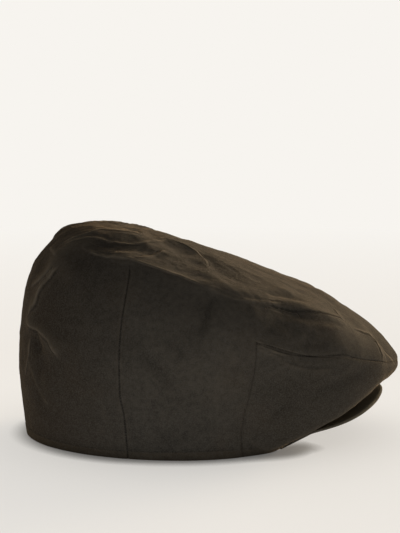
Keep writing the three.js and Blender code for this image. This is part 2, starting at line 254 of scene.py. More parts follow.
# Cells of the cloth mesh, with close rows at the rim for its rounded edge
BACK_COLUMNS = 210
FRONT_COLUMNS = 112
RIM_ROWS = [0.0, 0.008, 0.024, 0.05]
ROWS_PER_STATION = [14, 34, 38, 36, 28]

# Limits of the working, in millimetres where they are lengths. A point further from a path than
# PATH_REACH counts as FAR from it, and no line shows at UNSEEN.
HALVINGS = 40
TINY = 1e-6
LEAST_STEP = 1e-4
NEARBY_ANGLE = 0.5
NEARBY_STATION = 0.02
PATH_SPACING = 4.0
FINE_STEPS = 12
PATH_REACH = 26.0
FAR = 99.0
UNSEEN = 20.0
MERGE_WITHIN = 0.001


def eased(share):
    share = np.clip(share, 0, 1)
    return share * share * (3 - 2 * share)


def interpolate(places, values, at):
    """Smooth values over the table's places, mirrored past both of its ends."""
    ends = [[2 * places[0] - places[1]], places, [2 * places[-1] - places[-2]]]
    x = np.concatenate(ends)
    y = np.concatenate([values[1:2], values, values[-2:-1]])
    step = np.diff(x)
    rate = np.diff(y) / step
    slope = (rate[:-1] * step[1:] + rate[1:] * step[:-1]) / (step[1:] + step[:-1])
    k = np.clip(np.searchsorted(places, at, side="right") - 1, 0, len(places) - 2)
    span = places[k + 1] - places[k]
    t = (at - places[k]) / span
    return (
        (2 * t**3 - 3 * t**2 + 1) * values[k]
        + (t**3 - 2 * t**2 + t) * span * slope[k]
        + (3 * t**2 - 2 * t**3) * values[k + 1]
        + (t**3 - t**2) * span * slope[k + 1]
    )


def section_value(name, angle):
    return interpolate(SECTION_ANGLES, SECTION_TABLE[:, SECTION_COLUMNS.index(name)], angle)


def half_turn(angle):
    """The angle brought between -180 and 180 degrees."""
    return (np.asarray(angle, float) + 180) % 360 - 180


def around(angle, out, up):
    turn = np.radians(angle)
    x = AXIS[0] + out * np.cos(turn)
    y = AXIS[1] + out * np.sin(turn)
    return np.stack([x, y, up + 0 * out], -1)


def rim_out(angle):
    """Distance from the axis to the egg-shaped rim, found by halving."""
    turn = np.radians(angle)
    near = np.zeros_like(turn)
    far = near + 2 * OPENING["back"]
    for _ in range(HALVINGS):
        middle = (near + far) / 2
        x = OPENING_FROM_AXIS + middle * np.cos(turn)
        y = middle * np.sin(turn)
        half = np.where(x < OPENING["middle"], OPENING["back"], OPENING["front"])
        inside = ((x - OPENING["middle"]) / half) ** 2 + (y / OPENING["half_width"]) ** 2 < 1
        near = np.where(inside, middle, near)
        far = np.where(inside, far, middle)
    return near


def rim_up(angle):
    turn = np.minimum(np.abs(angle) / LIFT_ANGLE, 1)
    return FRONT_LIFT * (0.5 + 0.5 * np.cos(np.pi * turn))


def profile_points(angle):
    """Seven points of the cloth's profile at each angle, the last one past the apex."""
    size = np.abs(angle)
    side = np.where(angle < 0, -1.0, 1.0)
    rim_angle = section_value("rim_angle", size)
    upper = size + section_value("lean", size)
    opposite = 180 - size
    rows = [
        around(side * rim_angle, rim_out(rim_angle), rim_up(rim_angle)),
        around(side * size, section_value("lip_out", size), section_value("lip_up", size)),
        around(side * size, section_value("seam_out", size), section_value("seam_up", size)),
        around(side * upper, section_value("shoulder_out", size), section_value("shoulder_up", size)),
        around(side * upper, section_value("crest_out", size), section_value("crest_up", size)),
        around(angle, 0 * angle, APEX_HEIGHT),
        around(angle + 180, section_value("crest_out", opposite), section_value("crest_up", opposite)),
    ]
    return np.stack(rows, 1)


def plain_points(angle, station):
    """Points of the form without folds. Under the front the cloth is straight from rim to lip."""
    angle = half_turn(angle)
    station = np.asarray(station, float)
    points = profile_points(angle)
    last = points.shape[1] - 1
    i = np.clip(np.floor(station).astype(int), 0, last - 1)
    t = (station - i)[:, None]
    row = np.arange(len(angle))
    here = points[row, i]
    there = points[row, i + 1]
    before = np.where((i > 0)[:, None], points[row, np.maximum(i - 1, 0)], 2 * here - there)
    after = np.where((i + 2 <= last)[:, None], points[row, np.minimum(i + 2, last)], 2 * there - here)
    step = [np.sqrt(np.linalg.norm(b - a, axis=-1))[:, None] for a, b in
            [(before, here), (here, there), (there, after)]]
    step = [np.maximum(s, LEAST_STEP) for s in step]
    leave = (
        (here - before) / step[0] - (there - before) / (step[0] + step[1]) + (there - here) / step[1]
    ) * step[1]
    reach = (
        (there - here) / step[1] - (after - here) / (step[1] + step[2]) + (after - there) / step[2]
    ) * step[1]
    curved = (
        (2 * t**3 - 3 * t**2 + 1) * here
        + (t**3 - 2 * t**2 + t) * leave
        + (3 * t**2 - 2 * t**3) * there
        + (t**3 - t**2) * reach
    )
    straight = points[:, 0] + (points[:, 1] - points[:, 0]) * station[:, None]
    stretched = 1 - eased((np.abs(angle) - LIFT_ANGLE) / LIFT_FADE)
    share = (stretched * (station < 1))[:, None]
    return curved + (straight - curved) * share


def outward_of(angle, station):
    """Unit directions out of the cloth."""
    low = np.maximum(station - NEARBY_STATION, 0)
    high = np.minimum(station + NEARBY_STATION, APEX_STATION)
    along = plain_points(angle + NEARBY_ANGLE, station) - plain_points(angle - NEARBY_ANGLE, station)
    up = plain_points(angle, high) - plain_points(angle, low)
    apex = station > APEX_STATION - TINY
    along[apex] = [0, 1, 0]
    up[apex] = [-1, 0, 0]
    out = np.cross(along, up)
    out /= np.linalg.norm(out, axis=-1)[:, None]
    return out


def path_on_cloth(pairs):
    """Points on the plain form along pairs of angle and station, rounded at the corners."""
    pairs = np.array(pairs, float)
    places = np.arange(len(pairs))
    fine = np.linspace(0, len(pairs) - 1, FINE_STEPS * (len(pairs) - 1) + 1)
    if len(pairs) > 2:
        angle = interpolate(places, pairs[:, 0], fine)
        station = interpolate(places, pairs[:, 1], fine)
    else:
        angle = np.interp(fine, places, pairs[:, 0])
        station = np.interp(fine, places, pairs[:, 1])
    points = plain_points(angle, station)
    length = np.concatenate([[0], np.cumsum(np.linalg.norm(np.diff(points, axis=0), axis=1))])
    count = max(int(length[-1] / PATH_SPACING), 2)
    even = np.linspace(0, length[-1], count + 1)
    return np.stack([np.interp(even, length, points[:, k]) for k in range(3)], -1)


def across_path(all_points, all_out, path):
    """Signed distance from points to a path, and how far along the path each lies, from 0 to 1."""
    near = np.all((all_points > path.min(0) - PATH_REACH) & (all_points < path.max(0) + PATH_REACH), axis=1)
    points = all_points[near]
    out = all_out[near]
    best = np.full(len(points), FAR)
    signed = np.full(len(points), FAR)
    along = np.zeros(len(points))
    count = len(path) - 1
    for k in range(count):
        start, end = path[k], path[k + 1]
        span = end - start
        share = np.clip(((points - start) @ span) / (span @ span), 0, 1)
        offset = points - (start + share[:, None] * span)
        distance = np.linalg.norm(offset, axis=1)
        side = np.sign(np.einsum("ij,ij->i", np.cross(span[None, :], offset), out))
        closer = distance < best
        best = np.where(closer, distance, best)
        signed = np.where(closer, distance * np.where(side == 0, 1, side), signed)
        along = np.where(closer, (k + share) / count, along)
    all_signed = np.full(len(all_points), FAR)
    all_signed[near] = signed
    all_along = np.zeros(len(all_points))
    all_along[near] = along
    return all_signed, all_along


def smooth_noise(points, size, seed):
    """Perlin noise at the points, about -1 to 1, with cells of the given size in millimetres."""
    shift = Vector([seed * part for part in WAVE_SHIFT])
    return np.array([noise.noise(Vector(p) / size + shift) for p in points])


def crumple(points, size, seed):
    """Sharp-ridged noise at the points, as stiff waxed cloth creases, about -1 to 1."""
    shift = Vector([seed * part for part in CRUMPLE_SHIFT])
    falloff, finer, octaves, offset, gain = 1.0, 2.1, 3, 1.0, 1.6
    values = np.array([
        noise.ridged_multi_fractal(Vector(p) / size + shift, falloff, finer, octaves, offset, gain)
        for p in points
    ])
    return (values - values.mean()) / (2 * values.std())


def hem_distance(angle, station):
    """Distance up the cloth from the rim, in millimetres, up to the lip."""
    points = profile_points(half_turn(angle))
    first = np.linalg.norm(points[:, 1] - points[:, 0], axis=1)
    return first * station


def soft_folds(plain, out):
    """Height of the soft folds at each point."""
    height = np.zeros(len(plain))
    for row in FOLDS:
        fold = dict(zip(FOLD_COLUMNS, row))
        angles = [fold["from_angle"], fold["to_angle"]]
        stations = [fold["from_station"], fold["to_station"]]
        distance, _ = across_path(plain, out, plain_points(angles, stations))
        height += FOLD_SHARE * fold["rise"] * np.exp(-((distance / fold["width"]) ** 2))
    return height


def sharp_creases(plain, out):
    """Height of the creases at each point, with its distance from the nearest and how that shows."""
    height = np.zeros(len(plain))
    across = np.full(len(plain), UNSEEN)
    show = np.zeros(len(plain))
    dark = np.zeros(len(plain))
    for row in CREASES:
        crease = dict(zip(CREASE_COLUMNS, row))
        width = crease["width"]
        distance, along = across_path(plain, out, path_on_cloth(crease["points"]))
        ends = eased(np.minimum(along, 1 - along) / CREASE_FADE["end"])
        near = np.abs(distance)
        in_groove = distance * crease["groove"] > 0
        flank = width * np.where(in_groove, CREASE_FADE["groove_side"], CREASE_FADE["plain_side"])
        ridge = np.exp(-near / flank) * eased(1 - near / (CREASE_FADE["reach"] * width))
        height += crease["rise"] * ends * ridge
        closer = near < np.abs(across)
        seen = CREASE_SEEN["at_end"] + (1 - CREASE_SEEN["at_end"]) * ends
        seen = seen * eased((CREASE_SEEN["within"] - near) / CREASE_SEEN["over"])
        across = np.where(closer, distance, across)
        show = np.where(closer, crease["pale"] * seen, show)
        dark = np.where(closer, crease["groove"] * seen, dark)
    return height, {"crease_across": across, "crease_show": show, "crease_shade": dark}


def soft_dents(plain, out):
    """Height of the dents and swells at each point."""
    height = np.zeros(len(plain))
    for row in DENTS:
        dent = dict(zip(DENT_COLUMNS, row))
        distance, along = across_path(plain, out, path_on_cloth(dent["points"]))
        ends = eased(np.minimum(along, 1 - along) / DENT_END)
        height += dent["rise"] * ends * np.exp(-((distance / dent["width"]) ** 2))
    return height


def seam_lines():
    """The path of each sewn line and its entry in the table of seams."""
    stations = np.linspace(0, SEAM_STATION, SEAM_POINTS)
    lines = []
    for side in (-1, 1):
        side_seam = [(side * SEAM_ANGLE, station) for station in stations]
        dart = [(side * angle, station) for angle, station in DART_RUN]
        top = [(side * angle, station) for angle, station in TOP_SEAM_RUN]
        lines.append((path_on_cloth(side_seam), SEAMS["side"]))
        lines.append((path_on_cloth(dart), SEAMS["dart"]))
        lines.append((path_on_cloth(top), SEAMS["top"]))
    lines.append((path_on_cloth([(0, station) for station in stations]), SEAMS["front"]))
    return lines


def seam_grooves(plain, out):
    """Height of the sewn grooves at each point, with its distance from the nearest seam."""
    height = np.zeros(len(plain))
    across = np.full(len(plain), UNSEEN)
    show = np.zeros(len(plain))
    for path, seam in seam_lines():
        distance, _ = across_path(plain, out, path)
        near = np.abs(distance)
        height -= seam["depth"] * np.exp(-((near / seam["width"]) ** 2))
        closer = near < np.abs(across)
        seen = eased((SEAM_SEEN["within"] - near) / SEAM_SEEN["over"])
        across = np.where(closer, distance, across)
        show = np.where(closer, seam["clear"] * seen, show)
    return height, {"seam_across": across, "seam_show": show}


def ruffled(plain, station):
    """Height of the small waves and the crumple at each point."""
    calm = CALM["at_rim"] + (1 - CALM["at_rim"]) * eased(station / CALM["until"])
    patches = smooth_noise(plain, RUMPLED["size"], RUMPLED["seed"])
    patches = eased((patches + RUMPLED["shift"]) / RUMPLED["over"])
    rumpled = calm * (RUMPLED["least"] + (1 - RUMPLED["least"]) * patches)
    rumpled = np.maximum(rumpled, eased((station - RUMPLED_TOP["from"]) / RUMPLED_TOP["over"]))
    height = np.zeros(len(plain))
    for rise, size, seed in WAVES:
        height += calm * rise * smooth_noise(plain, size, seed)
    for rise, size, seed in CRUMPLES:
        height += rise * rumpled * crumple(plain, size, seed)
    return height


def rolled_hem(above_rim):
    """Height of the turned hem, with its edge rounded down to the rim."""
    swell = HEM_SWELL * (1 - eased((above_rim - HEM_HEIGHT + HEM_STEP / 2) / HEM_STEP))
    turned = np.clip(above_rim / HEM_ROUND, 0, 1)
    return swell - HEM_ROUND * (1 - np.sqrt(np.maximum(1 - (1 - turned) ** 2, 0)))


def sag_lip(outer, angle, station):
    """Draws the lip down and inward where it ends at the side seams."""
    away = (np.abs(half_turn(angle)) - LIP_END["angle"]) / LIP_END["spread"]
    hang = np.exp(-(away**2)) * np.exp(-(((station - 1) / LIP_END["stations"]) ** 2))
    inward = np.stack([-np.cos(np.radians(angle)), -np.sin(np.radians(angle))], -1)
    outer[:, :2] += LIP_END["pull"] * hang[:, None] * inward
    outer[:, 2] -= LIP_END["hang"] * hang


def shaped_cloth(angle, station):
    """Outer points of the cloth with its folds, and what the materials need to know of each point."""
    plain = plain_points(angle, station)
    out = outward_of(angle, station)
    crease_height, crease_facts = sharp_creases(plain, out)
    seam_height, seam_facts = seam_grooves(plain, out)
    height = soft_folds(plain, out) + crease_height + soft_dents(plain, out) + seam_height
    height += ruffled(plain, station) + rolled_hem(hem_distance(angle, station))
    outer = plain + out * height[:, None]
    sag_lip(outer, angle, station)
    rim = station < TINY
    outer[rim, 2] = rim_up(section_value("rim_angle", np.abs(half_turn(angle[rim]))))
    return outer, {**crease_facts, **seam_facts, "relief": height}


def column_angles():
    front = np.linspace(-SEAM_ANGLE, SEAM_ANGLE, FRONT_COLUMNS + 1)
    back = np.linspace(SEAM_ANGLE, 360 - SEAM_ANGLE, BACK_COLUMNS + 1)
    return np.concatenate([front, back[1:]])


def row_stations():
    rows = list(RIM_ROWS)
    for station, count in enumerate(ROWS_PER_STATION):
        rows += [station + (k + 1) / count for k in range(count)]
    return np.array(rows)


COLUMNS = column_angles()
ROWS = row_stations()
GRID_ANGLE, GRID_STATION = [g.ravel() for g in np.meshgrid(COLUMNS, ROWS, indexing="ij")]
GRID_OUTER, GRID_FACTS = shaped_cloth(GRID_ANGLE, GRID_STATION)
GRID_SHAPE = (len(COLUMNS), len(ROWS))


def grid_lengths():
    """Distance along the cloth from the rim at each grid point, in millimetres."""
    points = GRID_OUTER.reshape(*GRID_SHAPE, 3)
    steps = np.linalg.norm(np.diff(points, axis=1), axis=2)
    return np.concatenate([np.zeros((GRID_SHAPE[0], 1)), np.cumsum(steps, axis=1)], axis=1)


GRID_LENGTH = grid_lengths()


def grid_places(bm, columns, rows):
    """Column and row of each vertex of a new grid in the bmesh."""
    bmesh.ops.create_grid(bm, x_segments=columns, y_segments=rows, size=0.5)
    return {
        vert: (round((vert.co.x + 0.5) * columns), round((vert.co.y + 0.5) * rows))
        for vert in bm.verts
    }


def new_object(name, bm):
    """The bmesh, brought to metres, as an object in the scene."""
    bmesh.ops.scale(bm, vec=(MM, MM, MM), verts=bm.verts)
    mesh = bpy.data.meshes.new(name)
    bm.to_mesh(mesh)
    bm.free()
    made = bpy.data.objects.new(name, mesh)
    bpy.context.collection.objects.link(made)
    return made


def cloth_piece(name, first_column, last_column, last_row, skip=None):
    """A piece of the cloth over a span of grid columns and rows, as a bmesh grid laid on the form."""
    bm = bmesh.new()
    uv = bm.loops.layers.uv.new("UVMap")
    layers = {key: bm.verts.layers.float.new(key) for key in GRID_FACTS}
    above_rim = bm.verts.layers.float.new("above_rim")
    deform = bm.verts.layers.deform.verify()
    place = {
        vert: (first_column + i, j)
        for vert, (i, j) in grid_places(bm, last_column - first_column, last_row).items()
    }
    for vert, (i, j) in place.items():
        k = i * GRID_SHAPE[1] + j
        vert.co = GRID_OUTER[k]
        for key, layer in layers.items():
            vert[layer] = GRID_FACTS[key][k]
        vert[above_rim] = GRID_LENGTH[i, j]
        hem = float(1 - eased((GRID_LENGTH[i, j] - HEM_HEIGHT) / HEM_FADE))
        vert[deform][0] = CLOTH / HEM_THICKNESS + (1 - CLOTH / HEM_THICKNESS) * hem
    for face in bm.faces:
        face.smooth = True
        for loop in face.loops:
            i, j = place[loop.vert]
            girth = math.radians(COLUMNS[i]) * WEAVE_RADIUS
            loop[uv].uv = (girth * MM, GRID_LENGTH[i, j] * MM)
    if skip:
        gone = [f for f in bm.faces if skip(*np.mean([place[v] for v in f.verts], axis=0))]
        bmesh.ops.delete(bm, geom=gone, context="FACES")
    bmesh.ops.remove_doubles(bm, verts=bm.verts, dist=MERGE_WITHIN)
    bmesh.ops.dissolve_degenerate(bm, edges=bm.edges, dist=MERGE_WITHIN / 10)
    bmesh.ops.recalc_face_normals(bm, faces=bm.faces)
    piece = new_object(name, bm)
    thicken(piece)
    return piece


def thicken(piece):
    """Gives the cloth its wall inward, thicker at the hem by the weights of its vertex group."""
    group = piece.vertex_groups.new(name="thickness")
    solid = piece.modifiers.new("cloth thickness", "SOLIDIFY")
    solid.thickness = HEM_THICKNESS * MM
    solid.offset = -1
    solid.vertex_group = group.name
    solid.use_even_offset = False


PANEL_ROWS = int(np.argmin(np.abs(ROWS - SEAM_STATION)))


def in_front_panel(i, j):
    return i < FRONT_COLUMNS and j < PANEL_ROWS


crown = cloth_piece("crown_cloth", 0, len(COLUMNS) - 1, len(ROWS) - 1, skip=in_front_panel)
panel_right = cloth_piece("front_panel_right_cloth", 0, FRONT_COLUMNS // 2, PANEL_ROWS)
panel_left = cloth_piece("front_panel_left_cloth", FRONT_COLUMNS // 2, FRONT_COLUMNS, PANEL_ROWS)


def underside_up(angle, out):
    """Height of the folded front's underside at a distance from the axis."""
    rim = rim_out(angle)
    share = np.maximum((out - rim) / (section_value("lip_out", np.abs(angle)) - rim), 0)
    lip = section_value("lip_up", np.abs(angle))
    return rim_up(angle) + (lip - rim_up(angle)) * share


PEAK_COLUMNS = 96
PEAK_ROWS_ACROSS = 22
PEAK_EDGE_STEPS = 10


def peak_section():
    """Places round the peak's section: share from inner to outer edge, and height from -1 to 1."""
    top = [(k / PEAK_ROWS_ACROSS, 1.0) for k in range(PEAK_ROWS_ACROSS)]
    turn = np.linspace(math.pi / 2, -math.pi / 2, PEAK_EDGE_STEPS + 1)
    edge = [(1 + math.cos(t), math.sin(t)) for t in turn]
    bottom = [(share, -1.0) for share, _ in reversed(top)]
    return np.array(top + edge + bottom + top[:1])


def peak_piece():
    section = peak_section()
    edge = dict(zip(PEAK_EDGE_COLUMNS, np.array(PEAK_EDGE, float).T))
    angles = np.linspace(-PEAK["angle"], PEAK["angle"], PEAK_COLUMNS + 1)
    size = np.abs(angles)
    edge_out = interpolate(edge["angle"], edge["out"], size)
    edge_up = interpolate(edge["angle"], edge["up"], size)
    inner = rim_out(angles) - PEAK["tuck"]
    ends = (size / PEAK["angle"]) ** 2
    thickness = PEAK["thickness"] + (PEAK["end_thickness"] - PEAK["thickness"]) * ends
    bm = bmesh.new()
    uv = bm.loops.layers.uv.new("UVMap")
    for vert, (i, j) in grid_places(bm, PEAK_COLUMNS, len(section) - 1).items():
        share, side = section[j]
        half = thickness[i] / 2
        reach = edge_out[i] - inner[i] - half
        out = inner[i] + min(share, 1) * reach + max(share - 1, 0) * half
        across = (out - inner[i]) / (edge_out[i] - inner[i])
        at_rim = rim_up(angles[i]) - PEAK["gap"]
        sloped = at_rim + (edge_up[i] - at_rim) * across
        roof = underside_up(angles[i : i + 1], np.array([out]))[0] - PEAK["gap"]
        middle = min(sloped, roof) - half
        vert.co = around(angles[i], out, middle + side * half)
    for face in bm.faces:
        face.smooth = True
        for loop in face.loops:
            loop[uv].uv = (loop.vert.co.y * MM, loop.vert.co.x * MM)
    bmesh.ops.remove_doubles(bm, verts=bm.verts, dist=MERGE_WITHIN)
    open_edges = [e for e in bm.edges if e.is_boundary]
    bmesh.ops.holes_fill(bm, edges=open_edges, sides=0)
    bmesh.ops.recalc_face_normals(bm, faces=bm.faces)
    return new_object("peak_cover", bm)


peak = peak_piece()


def from_srgb(red, green, blue):
    """Linear colour with full alpha from display values of 0 to 255."""
    def part(value):
        share = value / 255
        return share / 12.92 if share <= 0.04045 else ((share + 0.055) / 1.055) ** 2.4
    return (part(red), part(green), part(blue), 1.0)


CLOTH_DARK = from_srgb(54, 51.5, 47)
CLOTH_PALE = from_srgb(73, 69, 63)
CLOTH_BROWN = from_srgb(70, 58, 46)
CLOTH_BACK = from_srgb(48, 39, 29)
# Browner tone with painted shade, for the low front that faces down
CLOTH_FRONT_BROWN_AND_SHADE = from_srgb(50, 45, 38)
CLOTH_WORN = from_srgb(88, 82, 73)
CLOTH_HEM = from_srgb(84, 72, 54)
CLOTH_SPECK = from_srgb(84, 81, 77)
WAX_PALE = from_srgb(112, 102, 88)
# Dark of the stitches, and of the painted shade in hollows, crease grooves and at the tip
STITCH_AND_SHADE_DARK = from_srgb(18, 16, 13)
# The peak's cloth is painted paler than the crown's: painted light for the shade it lies in under the crown
PEAK_DARK_PAINTED_LIGHT = from_srgb(80, 75, 66)
PEAK_PALE_PAINTED_LIGHT = from_srgb(92, 87, 77)
CLOTH_SHEEN = from_srgb(255, 224, 184)
PEAK_SHEEN = from_srgb(255, 212, 150)

# Noises of the finish: cells to a metre, detail, roughness and distortion
NOISES = {
    "broad": (16.0, 3.0, 0.55, 0.0),
    "brown": (24.0, 2.0, 0.5, 0.3),
    "patch": (55.0, 4.0, 0.6, 0.4),
    "peak patch": (60.0, 4.0, 0.6, 0.4),
    "breaks": (120.0, 3.0, 0.6, 0.0),
    "jitter": (170.0, 3.0, 0.5, 0.0),
    "wander": (260.0, 2.0, 0.5, 0.0),
    "mottle": (290.0, 2.0, 0.5, 0.0),
    "streak": (420.0, 3.0, 0.65, 0.0),
    "peak grain": (900.0, 3.0, 0.6, 0.0),
    "grain": (1250.0, 3.0, 0.6, 0.0),
}

# Relief of the finish: height in metres and strength
BUMPS = {
    "weave": (0.00012, 0.5),
    "grain": (0.00025, 0.5),
    "streak": (0.0003, 0.35),
    "patch": (0.0012, 0.35),
    "peak patch": (0.001, 0.3),
    "crease": (0.0006, 0.8),
    "stitches": (0.0006, 0.7),
}
WEAVE_PITCH = 0.0007
THREAD_WANDER = 0.7
STREAK_STRETCH = (1.0, 1.0, 0.25)

# Each range below gives two values of what it reads, and what it becomes at each of them. A pair
# is what a value is multiplied by and what is then added.
TONE = (0.2, 0.8, 0.0, 0.5)
MOTTLE = (0.3, 0.7, -0.36, 0.36)
BROWN_PATCHES = (0.54, 0.76, 0.0, 0.35)
SPECKS = (0.4, 0.66, 0.0, 0.5)
ROUGHNESS = (0.3, 0.7, 0.5, 0.66)
PEAK_TONE = (0.3, 0.7, 0.0, 1.0)

# Places along the cap and heights on it, in metres
BACK = (-0.045, -0.11, 0.0, 0.75)
# Browner tone with painted shade, strongest low on the front where it faces down
FRONT_TINT_AND_SHADE = (0.0, 0.05, 0.0, 0.6)
FRONT_TINT_AND_SHADE_BY_HEIGHT = (0.05, 0.075, 1.0, 0.3)
# Painted shade that darkens the tip
TIP_SHADE = (0.10, 0.135, 0.0, 0.5)
WORN = (-0.07, -0.02, 0.0, 1.0)
WORN_BY_TONE = (0.2, 0.17)
WORN_BY_HEIGHT = (0.02, 0.05, 0.0, 1.0)
PANEL = (0.01, 0.035, 0.0, 1.0)
PANEL_BY_HEIGHT = (0.05, 0.075, 1.0, 0.0)

# Relief of the cloth and distance from its rim, in millimetres
# Painted shade: the cloth darkens where its relief sinks
HOLLOW_SHADE = (-0.3, -2.2, 0.0, 0.28)
RUBBED = (0.4, 2.6, 0.0, 0.3)
RIM_FOLD = (0.0, 1.2, 0.4, 0.0)
HEM = (HEM_HEIGHT - 1.5, HEM_HEIGHT + 0.5, 0.32, 0.0)
HEM_PATCHES = (0.25, 0.65, 0.4, 1.0)
HEM_STITCHES = {"width": 0.45, "dark": 0.28}

# Lines of the creases and seams: half widths and offsets in millimetres, and shares of the colour
CREASE_LINE = {"width": 1.0, "pale": 0.72}
CREASE_BREAKS = (0.35, 0.6, 0.15, 1.0)
CREASE_HALO = {"width": 3.0, "pale": 0.2}
CREASE_JITTER = (2.0, -1.0)
# The dark beside each crease is painted shade in its groove
CREASE_GROOVE_SHADE = {"offset": 1.9, "dark": 0.7}
SEAM_STITCHES = {"width": 0.42, "dark": 0.8}
SEAM_SIDES = {"offset": 1.5, "width": 0.6, "pale": 0.08}


# Places of the colour sockets on a mix node
MIX_FIRST = 6
MIX_SECOND = 7
MIX_RESULT = 2


class Shader:
    """Short calls for building the node tree of a material or a world."""

    def __init__(self, owner):
        owner.use_nodes = True
        self.owner = owner
        self.tree = owner.node_tree
        self.tree.nodes.clear()

    def node(self, kind, **settings):
        made = self.tree.nodes.new(kind)
        for key, value in settings.items():
            setattr(made, key, value)
        return made

    def link(self, value, socket):
        if isinstance(value, bpy.types.NodeSocket):
            self.tree.links.new(value, socket)
        else:
            socket.default_value = value

    def maths(self, operation, a, b=0.0, c=0.0):
        made = self.node("ShaderNodeMath", operation=operation)
        for value, socket in zip((a, b, c), made.inputs):
            self.link(value, socket)
        return made.outputs[0]

    def attribute(self, name):
        return self.node("ShaderNodeAttribute", attribute_name=name).outputs["Fac"]

    def place(self, scale=(1, 1, 1), uv=False):
        source = self.node("ShaderNodeTexCoord").outputs["UV" if uv else "Object"]
        mapping = self.node("ShaderNodeMapping")
        self.link(source, mapping.inputs["Vector"])
        mapping.inputs["Scale"].default_value = scale
        return mapping.outputs["Vector"]

    def split(self, vector):
        made = self.node("ShaderNodeSeparateXYZ")
        self.link(vector, made.inputs["Vector"])
        return made.outputs["X"], made.outputs["Y"], made.outputs["Z"]

    def noise(self, vector, name):
        made = self.node("ShaderNodeTexNoise")
        self.link(vector, made.inputs["Vector"])
        for socket, value in zip(("Scale", "Detail", "Roughness", "Distortion"), NOISES[name]):
            made.inputs[socket].default_value = value
        return made.outputs["Fac"]

    def spread(self, value, low, high, to_low=0.0, to_high=1.0):
        made = self.node("ShaderNodeMapRange", clamp=True)
        self.link(value, made.inputs["Value"])
        made.inputs["From Min"].default_value = low
        made.inputs["From Max"].default_value = high
        made.inputs["To Min"].default_value = to_low
        made.inputs["To Max"].default_value = to_high
        return made.outputs["Result"]

    def mix(self, share, first, second):
        made = self.node("ShaderNodeMix", data_type="RGBA")
        self.link(share, made.inputs["Factor"])
        self.link(first, made.inputs[MIX_FIRST])
        self.link(second, made.inputs[MIX_SECOND])
        return made.outputs[MIX_RESULT]

    def opposite(self, share):
        return self.maths("SUBTRACT", 1.0, share)

    def product(self, first, *others):
        for other in others:
            first = self.maths("MULTIPLY", first, other)
        return first

    def soft_line(self, distance, width):
        """A line of the given half width where the distance is nought."""
        scaled = self.maths("DIVIDE", distance, width)
        return self.maths("EXPONENT", self.product(scaled, scaled, -1.0))

    def bump(self, height, name, normal=None):
        made = self.node("ShaderNodeBump")
        distance, strength = BUMPS[name]
        made.inputs["Strength"].default_value = strength
        made.inputs["Distance"].default_value = distance
        self.link(height, made.inputs["Height"])
        if normal is not None:
            self.link(normal, made.inputs["Normal"])
        return made.outputs["Normal"]

    def surface(self, colour, roughness, normal, **constants):
        shader = self.node("ShaderNodeBsdfPrincipled")
        self.link(colour, shader.inputs["Base Color"])
        self.link(roughness, shader.inputs["Roughness"])
        self.link(normal, shader.inputs["Normal"])
        for name, value in constants.items():
            shader.inputs[name.replace("_", " ")].default_value = value
        output = self.node("ShaderNodeOutputMaterial")
        self.link(shader.outputs["BSDF"], output.inputs["Surface"])
        return self.owner


def woven_height(s):
    """Height of a plain weave on the piece's UV map, from 0 to 1, with threads that wander a little."""
    vector = s.place(uv=True)
    around_cap, up_cap, _ = s.split(vector)
    wander = s.noise(vector, "wander")
    threads = []
    for run in (around_cap, up_cap):
        shifted = s.maths("MULTIPLY_ADD", wander, WEAVE_PITCH * THREAD_WANDER, run)
        threads.append(s.maths("SINE", s.product(shifted, 2 * math.pi / WEAVE_PITCH)))
    return s.maths("MULTIPLY_ADD", s.product(*threads), 0.5, 0.5)


def mottled_ground(s, place, patch):
    """Colour of the cloth by its own patches, and the tone from dark to pale that it follows."""
    tone = s.maths("ADD", s.spread(s.noise(place, "broad"), *TONE), s.spread(patch, *TONE))
    tone = s.maths("ADD", tone, s.spread(s.noise(place, "mottle"), *MOTTLE))
    colour = s.mix(tone, CLOTH_DARK, CLOTH_PALE)
    brown = s.spread(s.noise(place, "brown"), *BROWN_PATCHES)
    return s.mix(brown, colour, CLOTH_BROWN), tone


def tinted_by_place(s, place, tone, colour):
    """Browner at the back, browner with painted shade low at the front, painted shade at the tip, worn pale
    on the sides.
    """
    along, _, up = s.split(place)
    colour = s.mix(s.spread(along, *BACK), colour, CLOTH_BACK)
    front = s.product(s.spread(along, *FRONT_TINT_AND_SHADE), s.spread(up, *FRONT_TINT_AND_SHADE_BY_HEIGHT))
    colour = s.mix(front, colour, CLOTH_FRONT_BROWN_AND_SHADE)
    panel = s.product(s.spread(along, *PANEL), s.spread(up, *PANEL_BY_HEIGHT))
    worn = s.product(s.spread(along, *WORN), s.maths("MULTIPLY_ADD", tone, *WORN_BY_TONE))
    worn = s.product(worn, s.opposite(panel), s.spread(up, *WORN_BY_HEIGHT))
    colour = s.mix(worn, colour, CLOTH_WORN)
    return s.mix(s.spread(along, *TIP_SHADE), colour, STITCH_AND_SHADE_DARK)


def tinted_by_relief(s, patch, colour):
    """Painted shade in the hollows and ridges rubbed, with the stitched hem and its pale folded edge."""
    relief = s.attribute("relief")
    colour = s.mix(s.spread(relief, *HOLLOW_SHADE), colour, STITCH_AND_SHADE_DARK)
    colour = s.mix(s.spread(relief, *RUBBED), colour, WAX_PALE)
    above_rim = s.attribute("above_rim")
    hem = s.product(s.spread(above_rim, *HEM), s.spread(patch, *HEM_PATCHES))
    colour = s.mix(hem, colour, CLOTH_HEM)
    stitches = s.soft_line(s.maths("SUBTRACT", above_rim, HEM_HEIGHT), HEM_STITCHES["width"])
    colour = s.mix(s.product(stitches, HEM_STITCHES["dark"]), colour, STITCH_AND_SHADE_DARK)
    return s.mix(s.spread(above_rim, *RIM_FOLD), colour, WAX_PALE)


